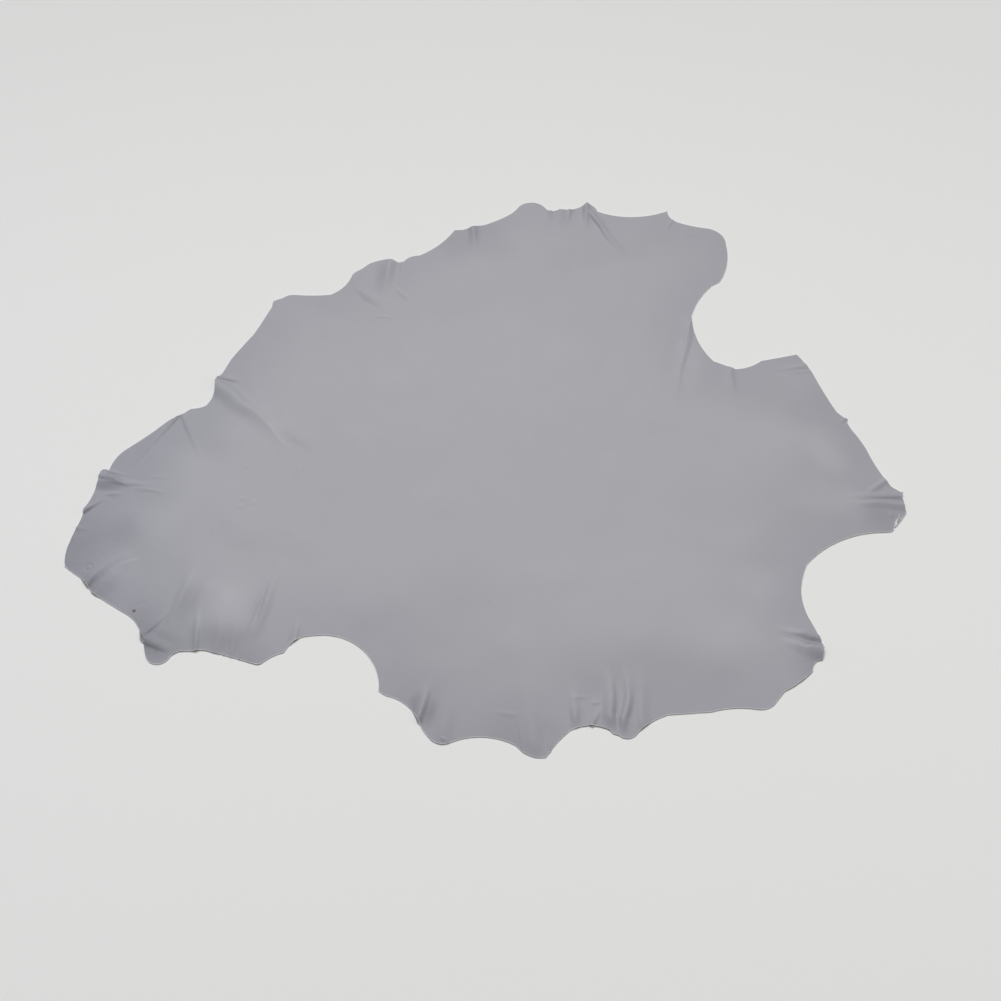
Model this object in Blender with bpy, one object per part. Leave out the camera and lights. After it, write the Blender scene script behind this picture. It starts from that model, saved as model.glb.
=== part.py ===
"""A small whole hide of soft garment leather, laid out on a surface.

The hide is one cut piece: the neck end points to -X, the tail to +X, and the
grain side is up. Its edge is the trimmed edge of the skin, with the bays of
the four shanks, and it lies slack, with low rolls in the middle, pleats that
start at the edge and a few curled tips. Units are metres and +Z is up. The
tables below are drawn in centimetres on a pattern that is 114.9 cm long.
"""

import math

import bmesh
import bpy
import numpy as np
from mathutils import Matrix

# Driving dimensions
HIDE_LENGTH = 1.149       # neck end to tail, laid out
THICKNESS = 0.0012        # soft goat or lamb leather
PATTERN_LENGTH = 114.9    # length of the pattern in the tables, in cm
FOLD_GAIN = 1.0           # 1 gives the folds the heights in the table

# Fineness of the solid
ARC_SAG = 0.0004          # how far a straight step may cut off an arc
GRID = 0.003              # cell of the grid on which the folds are raised
KEPT_FACES = 4300         # faces left on one side once the calm parts are thinned
CONTACT = 0.00012         # anything lower than this lies flat on the surface

COLOUR = (0.36, 0.36, 0.385, 1.0)
ROUGHNESS = 0.55

CM = HIDE_LENGTH / PATTERN_LENGTH
MM = 0.001
RUN_IN = 2.5 * CM         # how far ahead of its start an edge fold reaches

# The edge, clockwise from above. Each stretch runs from its own place to the
# next one as an arc, and bow is how far the arc's middle stands out of the
# hide, or into it where bow is negative.
# place, x cm, y cm, bow cm
OUTLINE = [
    ("neck end, lower corner", -57.2, -20.1, 0.25),
    ("neck end, upper corner", -57.1, -16.1, 0),
    ("neck edge, first nick", -56.65, -14.1, -0.15),
    ("neck edge, second nick", -56.05, -11, -0.2),
    ("neck flap, root", -54.85, -6.5, 0.05),
    ("neck flap, corner", -54.75, -4.9, 0.15),
    ("neck flap, top", -54.1, -4.4, 0),
    ("neck pleat", -53.6, -4.6, 0.3),
    ("throat, left", -51.9, -1.2, -0.1),
    ("throat, middle", -46.15, 3.95, -0.05),
    ("throat, step", -43.3, 6.2, -0.15),
    ("shoulder notch, low", -41.2, 6.75, -0.15),
    ("shoulder notch, high", -40.3, 9.3, -0.05),
    ("shoulder fold, tip", -40.45, 11.2, 0.05),
    ("shoulder fold, top", -40.15, 11.8, 0.05),
    ("shoulder fold, root", -39.85, 11.95, 0),
    ("upper shoulder, low", -38.5, 15.4, 0.05),
    ("upper shoulder, middle", -35.7, 20, -0.05),
    ("upper shoulder, high", -33.4, 25.5, 0),
    ("upper shank, outer corner", -33.3, 26.85, -0.15),
    ("upper shank, crown", -31.2, 27.8, 0.1),
    ("upper shank, inner end", -29.8, 27.95, -0.15),
    ("upper armpit, start", -24.6, 28, -0.65),
    ("upper armpit, corner", -21.45, 32.4, -0.15),
    ("belly lobe 1, rise", -19.2, 34.2, 0.35),
    ("belly lobe 1, end", -15.4, 35.2, -0.35),
    ("belly dip", -13.6, 34.75, 0.35),
    ("belly lobe 2, end", -11.2, 36.05, -0.55),
    ("belly corner", -5.85, 41.5, 0),
    ("belly step", -4.4, 41.6, 0.1),
    ("belly lobe 3, end", -1, 42.65, -0.15),
    ("belly dome, foot", 3.2, 45.1, 0),
    ("belly dome, start", 4, 46, 1.45),
    ("belly dome, end", 8.7, 46.25, -0.45),
    ("belly flat, start", 10.8, 45.85, -0.05),
    ("belly flat, end", 13, 46, -0.15),
    ("belly peak", 15.4, 47.4, 0.3),
    ("belly peak, foot", 17, 45.55, -1.3),
    ("flank hook", 28.2, 45.7, -0.45),
    ("flank bay", 29.6, 43.2, -0.15),
    ("flank, shoulder", 34, 41.9, 0.95),
    ("flank, widest", 36.95, 38.3, 0.65),
    ("flank, corner", 35.3, 30.7, 0),
    ("upper hind bay, start", 34, 29.9, -0.45),
    ("upper hind bay, pleat", 30.4, 23.7, -0.8),
    ("upper hind bay, floor", 33, 15, 0),
    ("upper hind bay, low corner", 36.2, 13.5, -0.35),
    ("upper hind shank, inner", 40.1, 15.05, 0),
    ("upper hind shank, corner", 45.5, 16.25, 0.15),
    ("upper hind shank, outer", 47.5, 12.5, -0.15),
    ("rump, first bay", 50, 5.6, -0.1),
    ("rump, torn tip", 51.45, 4.25, 0.05),
    ("rump, tear root", 51.2, 3.85, 0),
    ("rump, tear foot", 51.75, 2.4, 0.1),
    ("rump, crown", 53.4, -1, -0.25),
    ("tail, shoulder", 56, -7.35, 0),
    ("tail, notch", 57.15, -8.25, 0),
    ("tail, prong", 57.5, -8.05, 0),
    ("tail, prong root", 57.35, -8.7, 0),
    ("tail, nick", 57.15, -9.1, 0),
    ("tail, nick end", 57.35, -9.7, -0.1),
    ("tail, tip", 57.4, -11.6, 0.05),
    ("tail strip, outer lip", 55.5, -14, 0),
    ("tail strip, inner lip", 55.4, -13.9, 0),
    ("tail strip, middle", 55.95, -12.75, 0),
    ("tail slit, root", 56.45, -11.9, 0),
    ("tail slit, middle", 55.75, -12.65, 0),
    ("tail slit, inner lip", 55.3, -14.1, 0.1),
    ("tail, foot", 54.9, -14.65, 0),
    ("lower hind bay, start", 54.2, -14.75, -1.4),
    ("lower hind bay, bend", 42.7, -19.85, -0.15),
    ("lower hind bay, floor", 41.5, -23.6, -0.35),
    ("lower hind bay, end", 42.2, -28.6, 0.1),
    ("lower hind shank, tip", 43.4, -32.4, 0),
    ("lower hind shank, corner", 43, -34, -0.4),
    ("lower hind shank, notch", 41.55, -35.7, 0.2),
    ("lower flank, high", 37.6, -38.55, 0),
    ("lower flank, low", 36.25, -40.25, 0.3),
    ("lower flank, foot", 34, -41.05, -0.35),
    ("lower flank, middle", 28, -41.4, 0),
    ("lower flank, end", 22.5, -41.8, -0.1),
    ("lower belly tip, rise", 19.65, -43.25, -0.05),
    ("lower belly tip, right", 18.4, -44.5, 0.45),
    ("lower belly tip, left", 16.3, -44.6, 0),
    ("lower belly tip, corner", 15.5, -44.3, 0),
    ("lower belly bay, right", 15.1, -43.8, -0.6),
    ("lower belly bay, left", 10.2, -43.9, -0.2),
    ("lower belly point", 7.1, -47.5, 0.4),
    ("lower belly point, foot", 3.9, -46.5, 0),
    ("lower belly long bay, right", 3.2, -45.85, -0.95),
    ("lower belly long bay, left", -5, -45.6, 0.35),
    ("lower belly lobe, low", -7.3, -45.1, 0.15),
    ("lower belly pleat", -8.95, -42.55, -0.65),
    ("lower belly, end", -13.1, -39.15, 0.05),
    ("lower armpit, corner", -14.1, -38.45, -2.25),
    ("lower armpit, crown", -21.5, -30.5, -0.05),
    ("lower armpit, left", -24.25, -30.75, -0.2),
    ("lower armpit, end", -26.05, -32.15, 0),
    ("lower shank, inner", -26.65, -33.05, -0.2),
    ("lower shank, point", -29.5, -34.7, 0.05),
    ("lower shank, low", -30.25, -34.7, -0.05),
    ("lower shank, rise", -36.55, -32.8, -0.15),
    ("lower shank, crown", -38.25, -32.85, -0.05),
    ("ear lobe, neck", -40.25, -32.9, -0.15),
    ("ear lobe, right", -41.4, -33.9, 0.9),
    ("ear lobe, left", -44.35, -33.8, 0.1),
    ("ear fold, root", -44.95, -31.6, 0),
    ("cheek, corner", -45.4, -31, 0.05),
    ("cheek, low", -45.85, -29.6, -0.2),
    ("cheek, middle", -47.75, -27.45, 0.05),
    ("neck end, step", -52.9, -24.15, -0.05),
    ("neck end, foot", -54.75, -21.9, 0.05),
]

# What makes the folds and the calm parts uneven: slow waves over the pattern.
# swing, turns per cm in x, turns per cm in y (radians), start (radians)
WANDER = [
    (0.24, 0.13, 0.31, 0.4),
    (0.12, 0.47, -0.36, 2.1),
    (0.07, -0.95, 0.83, 5.0),
]
UNEVEN = [
    (0.90, 0.21, 0.34, 0.3),
    (0.80, -0.30, 0.19, 1.9),
    (0.60, 0.52, -0.21, 4.1),
    (0.50, 0.12, 0.66, 2.6),
    (0.35, -0.71, -0.48, 0.8),
]
WANDER_TURN = 1.3         # keeps the wander in y out of step with that in x
UNEVEN_FLOOR = 0.3        # share of the uneven waves that stays on the surface
UNEVEN_ROUND = 0.6        # how softly a swell rises from the surface
UNEVEN_HEIGHT = 0.5       # mm per unit of swing

# The folds. Each is a ridge over a spine that runs from a start to an end and
# bends by bow to the left on its way. width is the distance from the spine to
# the foot at the start and at the end, lean shifts width to the left side, and
# a fold that fades at its "end" is full at the hide's edge, where it starts.
# name, x0, y0, x1, y1, bow, width 0, width 1 (cm), lean, height mm, fades
FOLDS = [
    ("neck roll", -41.0, 11.0, -43.0, -30.0, 0.0, 15.0, 15.0, 0.12, 8.5, "both"),
    ("lower flank roll", -9.0, -31.0, 44.0, -29.0, 0.0, 14.0, 14.0, 0.12, 7.5, "both"),
    ("rump roll", 41.0, 15.0, 44.5, -19.0, 0.0, 14.0, 14.0, -0.08, 6.0, "both"),
    ("cheek roll", -44.0, -29.6, -26.0, -28.6, 0.0, 6.4, 6.4, 0.2, 5.0, "both"),
    ("belly roll", -24.0, 25.0, 18.0, 40.0, 0.0, 9.0, 11.0, 0.0, 3.0, "both"),
    ("shoulder fold", -41.3, 11.2, -27.2, -3.0, 0.8, 2.1, 1.6, -0.15, 5.0, "end"),
    ("shoulder fold, second", -31.6, 3.6, -24.2, -1.7, 0.5, 2.1, 2.1, 0.2, 0.9, "both"),
    ("shoulder fold, back", -40.9, 11.9, -36.2, 10.9, 0.1, 0.7, 0.7, 0.2, 2.6, "end"),
    ("throat margin", -44.5, 6.2, -53.1, -6.8, 0.3, 0.9, 0.8, -0.3, 2.0, "end"),
    ("neck pleat", -55.2, -5.3, -46.2, -8.0, -0.4, 0.8, 0.7, 0.1, 3.2, "end"),
    ("neck pleat, flap", -55.5, -6.2, -49.5, -7.8, 0.1, 1.2, 0.8, -0.5, 3.0, "end"),
    ("neck nick", -56.0, -11.2, -53.0, -8.5, 0.0, 0.7, 0.7, 0.3, 2.4, "end"),
    ("jaw side roll", -54.3, -22.6, -47.1, -17.6, 0.9, 1.5, 1.6, 0.0, 3.0, "end"),
    ("jaw fold", -53.2, -24.8, -45.3, -19.3, 1.3, 1.4, 1.5, -0.3, 2.2, "end"),
    ("ear fold", -46.2, -30.7, -40.2, -33.4, 0.0, 0.9, 0.8, 0.3, 3.6, "end"),
    ("cheek ridge", -43.2, -31.8, -38.4, -18.6, 0.2, 1.3, 1.5, -0.15, 2.7, "both"),
    ("cheek wrinkle 1", -38.2, -31.7, -38.5, -26.2, 0.1, 0.75, 0.8, 0.0, 1.9, "end"),
    ("cheek wrinkle 2", -35.7, -32.3, -35.1, -27.4, -0.1, 0.8, 0.9, 0.0, 1.2, "end"),
    ("cheek wrinkle 3", -33.6, -32.6, -32.9, -27.6, 0.2, 0.8, 0.9, 0.0, 1.0, "end"),
    ("shank ridge", -31.7, -33.2, -27.7, -17.3, -0.3, 0.9, 0.9, -0.2, 2.0, "both"),
    ("shank corner fold", -25.2, -30.8, -25.0, -27.7, 0.0, 0.75, 0.8, 0.0, 1.8, "end"),
    ("armpit fold 1", -15.6, 34.1, -16.6, 26.8, 0.3, 1.7, 1.1, -0.1, 2.9, "end"),
    ("armpit fold 2", -12.8, 34.6, -13.5, 27.6, 0.2, 1.2, 1.5, 0.2, 1.4, "end"),
    ("armpit crease", -22.3, 29.8, -15.3, 24.5, 0.5, 1.35, 1.35, 0.0, 1.4, "both"),
    ("belly fold", -3.1, 43.4, -2.6, 33.2, -0.1, 1.3, 1.6, 0.2, 2.4, "end"),
    ("belly wrinkle", 11.0, 46.3, 10.8, 41.4, 0.0, 1.7, 1.7, 0.0, 2.6, "end"),
    ("belly peak fold", 14.9, 46.5, 15.2, 40.5, 0.1, 0.9, 0.9, -0.2, 2.4, "end"),
    ("belly long crease", 15.8, 44.9, 22.1, 34.0, 0.0, 0.75, 0.95, 0.35, 2.2, "end"),
    ("upper hind bay, curl", 29.9, 22.1, 26.5, 5.7, 0.1, 1.1, 1.1, -0.4, 1.6, "end"),
    ("hind bay wrinkle", 35.6, 13.3, 35.7, 8.2, 0.0, 0.7, 0.8, 0.0, 1.3, "end"),
    ("upper hind shank crease", 47.0, 14.1, 40.5, 13.1, 0.2, 0.75, 0.75, 0.0, 1.1, "end"),
    ("tail fold, upper", 56.5, -9.1, 48.1, -9.0, 0.1, 0.8, 0.9, 0.0, 2.2, "end"),
    ("tail fold, side", 54.7, -6.7, 51.0, -9.5, 0.0, 0.75, 0.75, 0.0, 1.6, "end"),
    ("tail fold, lower", 56.6, -10.5, 48.5, -9.8, 0.2, 0.8, 0.8, 0.5, 3.0, "end"),
    ("lower hind tip, curl", 43.4, -33.0, 37.8, -31.0, 0.0, 1.3, 0.8, 0.7, 6.8, "end"),
    ("lower hind tip, upper", 43.6, -31.4, 36.7, -29.1, 0.2, 0.85, 0.85, 0.1, 3.2, "end"),
    ("lower pleat", -9.1, -42.3, -7.3, -36.2, 0.1, 1.15, 1.0, 0.1, 3.8, "end"),
    ("lower lobe fold", -5.9, -43.8, -4.7, -37.3, -0.1, 1.5, 1.7, 0.0, 1.8, "end"),
    ("lower point fold", 5.5, -45.9, 5.1, -38.8, -0.2, 1.7, 1.9, 0.0, 1.8, "end"),
    ("lower bay wrinkle", 11.0, -42.1, 11.0, -37.1, 0.0, 0.9, 1.0, 0.0, 2.3, "end"),
    ("lower tip fold 1", 15.4, -41.6, 14.1, -34.6, -0.7, 1.15, 1.2, 0.35, 4.2, "end"),
    ("lower tip fold 2", 17.0, -42.0, 16.5, -34.3, -0.8, 0.95, 1.0, -0.2, 3.8, "end"),
    ("lower tip fold 3", 19.6, -42.1, 18.9, -34.6, 0.2, 1.2, 1.3, -0.2, 2.3, "end"),
]


def arc(start, end, bow):
    """Points of the stretch from start up to, but not with, end."""
    run = np.subtract(end, start)
    chord = math.hypot(*run)
    along = run / chord
    out = np.array((-along[1], along[0]))
    if bow == 0.0:
        return [tuple(start)]
    radius = (chord * chord / 4 + bow * bow) / (2 * abs(bow))
    half = math.asin(min(1.0, chord / 2 / radius))
    if abs(bow) > chord / 2:
        half = math.pi - half
    step = 2 * math.acos(1 - min(ARC_SAG / radius, 1.0))
    count = max(2, math.ceil(2 * half / step))
    points = []
    for i in range(count):
        turn = half * (2 * i / count - 1)
        forward = chord / 2 + radius * math.sin(turn)
        rise = math.copysign(radius * (math.cos(turn) - math.cos(half)), bow)
        points.append(tuple(start + along * forward + out * rise))
    return points


def edge_points():
    """The whole edge of the hide, clockwise."""
    points = []
    for row, following in zip(OUTLINE, OUTLINE[1:] + OUTLINE[:1]):
        start = np.array(row[1:3]) * CM
        end = np.array(following[1:3]) * CM
        points += arc(start, end, row[3] * CM)
    return points


def hump(offset):
    """A smooth ridge section: 1 on the spine, 0 and level at a foot 1 away."""
    inside = np.clip(np.abs(offset), 0.0, 1.0)
    return (1.0 - inside * inside) ** 3


def ramp(share):
    """Smooth step from 0 to 1."""
    share = np.clip(share, 0.0, 1.0)
    return share * share * (3.0 - 2.0 * share)


def fold_height(x, y, fold):
    """How far one fold lifts the points x, y."""
    name, x0, y0, x1, y1, bow, width_0, width_1, lean, height, fades = fold
    run = np.array((x1 - x0, y1 - y0)) * CM
    length = math.hypot(*run)
    along = run / length
    from_start = x - x0 * CM, y - y0 * CM
    share = (from_start[0] * along[0] + from_start[1] * along[1]) / length
    held = np.clip(share, 0.0, 1.0)
    spine = 4 * bow * CM * held * (1 - held)
    left = from_start[1] * along[0] - from_start[0] * along[1] - spine
    width = (width_0 + (width_1 - width_0) * held) * CM
    width = width * np.where(left > 0, 1 + lean, 1 - lean)
    if fades == "both":
        strength = hump(2 * share - 1)
    else:
        strength = (1 - ramp(share)) * hump(np.minimum(share, 0.0) * length / RUN_IN)
    return height * MM * FOLD_GAIN * strength * hump(left / width)


def waves(x, y, rows, shift=0.0):
    """Sum of slow waves at the points x, y of the pattern."""
    return sum(
        swing * np.sin((turns_x * x + turns_y * y) / CM + start + shift)
        for swing, turns_x, turns_y, start in rows)


def lift(x, y):
    """Height of the underside over the surface that the hide lies on."""
    along = x + waves(x, y, WANDER) * CM
    across = y + waves(y, x, WANDER, WANDER_TURN) * CM
    height = sum(fold_height(along, across, fold) for fold in FOLDS)
    swell = np.maximum(0.0, waves(x, y, UNEVEN) - UNEVEN_FLOOR)
    height = height + UNEVEN_HEIGHT * MM * swell * swell / (swell + UNEVEN_ROUND)
    return np.where(height < CONTACT, 0.0, height)


def cut_into_grid(sheet):
    """Cuts the flat sheet along lines in X and in Y, so that it can bend."""
    for axis in (0, 1):
        places = [vert.co[axis] for vert in sheet.verts]
        first = math.ceil(min(places) / GRID)
        last = math.floor(max(places) / GRID)
        normal = (1, 0, 0) if axis == 0 else (0, 1, 0)
        for line in range(first, last + 1):
            point = [0.0, 0.0, 0.0]
            point[axis] = line * GRID
            geometry = sheet.verts[:] + sheet.edges[:] + sheet.faces[:]
            bmesh.ops.bisect_plane(
                sheet, geom=geometry, dist=1e-6, plane_co=point, plane_no=normal)


def flat_sheet(points):
    """The sheet inside the edge's points, flat and cut into grid cells."""
    sheet = bmesh.new()
    edge = [sheet.verts.new((x, y, 0.0)) for x, y in points]
    sheet.faces.new(reversed(edge))
    cut_into_grid(sheet)
    bmesh.ops.triangulate(sheet, faces=sheet.faces[:])
    return sheet


def raise_folds(mesh):
    """Lifts a flat mesh to the folds' heights."""
    flat = np.empty(len(mesh.vertices) * 3)
    mesh.vertices.foreach_get("co", flat)
    flat = flat.reshape(-1, 3)
    flat[:, 2] = lift(flat[:, 0], flat[:, 1])
    mesh.vertices.foreach_set("co", flat.ravel())
    mesh.update()


def thinned(mesh):
    """A copy of the mesh with the faces of its calm parts joined up."""
    draft = bpy.data.objects.new("draft", mesh)
    bpy.context.collection.objects.link(draft)
    thin = draft.modifiers.new("Thin out", "DECIMATE")
    thin.ratio = KEPT_FACES / len(mesh.polygons)
    shape = draft.evaluated_get(bpy.context.evaluated_depsgraph_get())
    kept = bpy.data.meshes.new_from_object(shape)
    bpy.data.objects.remove(draft)
    return kept


def settle(mesh):
    """Puts what the thinning left a hair off the surface back on it."""
    for vert in mesh.vertices:
        if vert.co.z < CONTACT:
            vert.co.z = 0.0


def centre(mesh, points):
    """Moves the mesh so that the middle of the points' extents is the origin."""
    points = np.array(points)
    x, y = (points.min(axis=0) + points.max(axis=0)) / 2
    mesh.transform(Matrix.Translation((-x, -y, 0.0)))


def leather():
    """Plain grey leather."""
    material = bpy.data.materials.new("leather")
    material.use_nodes = True
    shader = material.node_tree.nodes["Principled BSDF"]
    shader.inputs["Base Color"].default_value = COLOUR
    shader.inputs["Roughness"].default_value = ROUGHNESS
    shader.inputs["Metallic"].default_value = 0.0
    return material


def make_hide():
    """The hide: an outline cut into a grid, folded, thinned and thickened."""
    points = edge_points()
    sheet = flat_sheet(points)
    mesh = bpy.data.meshes.new("flat")
    sheet.to_mesh(mesh)
    sheet.free()
    raise_folds(mesh)
    mesh = thinned(mesh)
    settle(mesh)
    centre(mesh, points)
    mesh.name = "hide"
    mesh.materials.append(leather())
    hide = bpy.data.objects.new("hide", mesh)
    bpy.context.collection.objects.link(hide)
    wall = hide.modifiers.new("Thickness", "SOLIDIFY")
    wall.thickness = THICKNESS
    wall.offset = 1.0
    return hide


for old in list(bpy.data.objects):
    bpy.data.objects.remove(old)
make_hide()
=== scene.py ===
"""Looks of a small whole hide of soft grey leather, laid out on a surface.

One sheet stands for the solid of the same shape. It has the solid's edge and
folds, and on them the finer pleats, creases and marks of the real skin, in
three finishes: a smooth grain side, a suede-like flesh side and a raw cut edge.
"""

import math
from typing import NamedTuple

import bmesh
import bpy
import numpy as np
from bpy.props import FloatProperty, FloatVectorProperty, IntProperty, PointerProperty
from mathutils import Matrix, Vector
from mathutils.kdtree import KDTree


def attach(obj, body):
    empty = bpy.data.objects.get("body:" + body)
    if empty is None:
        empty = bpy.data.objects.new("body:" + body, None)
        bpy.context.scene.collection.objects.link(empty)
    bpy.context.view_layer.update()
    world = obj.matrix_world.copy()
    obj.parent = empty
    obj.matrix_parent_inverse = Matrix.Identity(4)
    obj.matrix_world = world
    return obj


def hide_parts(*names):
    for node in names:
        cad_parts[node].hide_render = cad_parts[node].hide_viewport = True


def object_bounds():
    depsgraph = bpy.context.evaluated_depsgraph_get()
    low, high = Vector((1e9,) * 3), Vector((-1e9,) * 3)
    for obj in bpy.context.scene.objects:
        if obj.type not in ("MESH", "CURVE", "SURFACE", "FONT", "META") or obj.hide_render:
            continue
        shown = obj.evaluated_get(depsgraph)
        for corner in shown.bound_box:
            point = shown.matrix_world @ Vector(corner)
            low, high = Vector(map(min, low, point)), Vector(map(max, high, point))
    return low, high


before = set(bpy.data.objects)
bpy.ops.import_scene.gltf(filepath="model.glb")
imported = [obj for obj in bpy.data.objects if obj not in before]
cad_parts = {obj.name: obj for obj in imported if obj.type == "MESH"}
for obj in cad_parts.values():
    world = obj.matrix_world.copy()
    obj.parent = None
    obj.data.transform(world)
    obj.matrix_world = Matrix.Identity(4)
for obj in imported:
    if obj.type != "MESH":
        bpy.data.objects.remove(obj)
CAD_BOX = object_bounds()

bl_info = {
    "name": "Laid-out leather hide",
    "version": (1, 0, 0),
    "blender": (4, 5, 0),
    "location": "3D View > Sidebar > Hide",
    "description": "A small whole hide of soft leather with its finishes and stage",
    "category": "Object",
}

SOLID = "hide"            # the solid that the sheet stands for
SKIN = "hide_skin"        # the sheet itself

MM = 0.001                # m
CM_PER_M = 100

# The skin's mesh
GRAIN_SIDE, FLESH_SIDE, CUT_EDGE = range(3)  # the skin's finishes, in their order
CUT_TOLERANCE = 1e-6      # m, a vertex this close to a cutting line lies on it
MERGE_SHARE = 0.05        # of a cell, vertices closer than this become one
WHOLE_CELL = 0.99         # of a cell, what still counts as a whole one
SHORT_EDGE = 0.3          # of a cell, edges shorter than this stay whole
FOLD_MARGIN = 1.1         # widths from a fold's spine up to which its cells are fine
MARK_MARGIN = 1.5         # the same for a dent and for the ring
DENT_MARGIN = 0.55        # lengths from a dent's middle up to which its cells are fine
HOLE_MARGIN = 3           # the same for the hole, in radii
SLOPE_STEP = 0.02         # cm between the two points that a slope is taken from

# The finishes
NECK_SPAN = (-0.30, -0.52)  # m in X, where the neck end's looser grain sets in
RIM_SHADE_AND_LOOSENESS_REACH = 0.11         # m, how far in from the cut the painted shade and the looser grain of the margin reach
NARROW_REACH = 2.5        # cm, patches narrower than this keep close to their places
STAIN_REACH = 0.35        # cm, how far the brown stain around the hole fades out
STAIN_CORE = 0.6          # of the stain's fade, where it is full

# The stage
MIDDLE = (0.0, 0.0, 0.0)
KEY_PLACE = (-0.15, 2.0, 2.4)
TOP_PLACE = (-0.05, 0.1, 2.0)
TOP_AIM = (-0.05, 0.0, 0.0)
SIDE_LIGHTS = {           # place and colour of each
    "cool_side": ((-2.2, -0.3, 1.3), (0.86, 0.90, 1.0)),
    "warm_side": ((2.2, -0.3, 1.3), (1.0, 0.95, 0.88)),
}
LIGHT_SIZE = 1.2          # m, side of each square light
SENSOR_WIDTH = 36.0       # mm

# The folds, which the solid has too
RUN_IN = 2.5              # cm, how far ahead of its start an edge fold reaches
WANDER_TURN = 1.3         # keeps the wander in y out of step with that in x
UNEVEN_FLOOR = 0.3        # share of the uneven waves that stays on the surface
UNEVEN_ROUND = 0.6        # how softly a swell rises from the surface
UNEVEN_HEIGHT = 0.5       # mm per unit of swing

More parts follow.
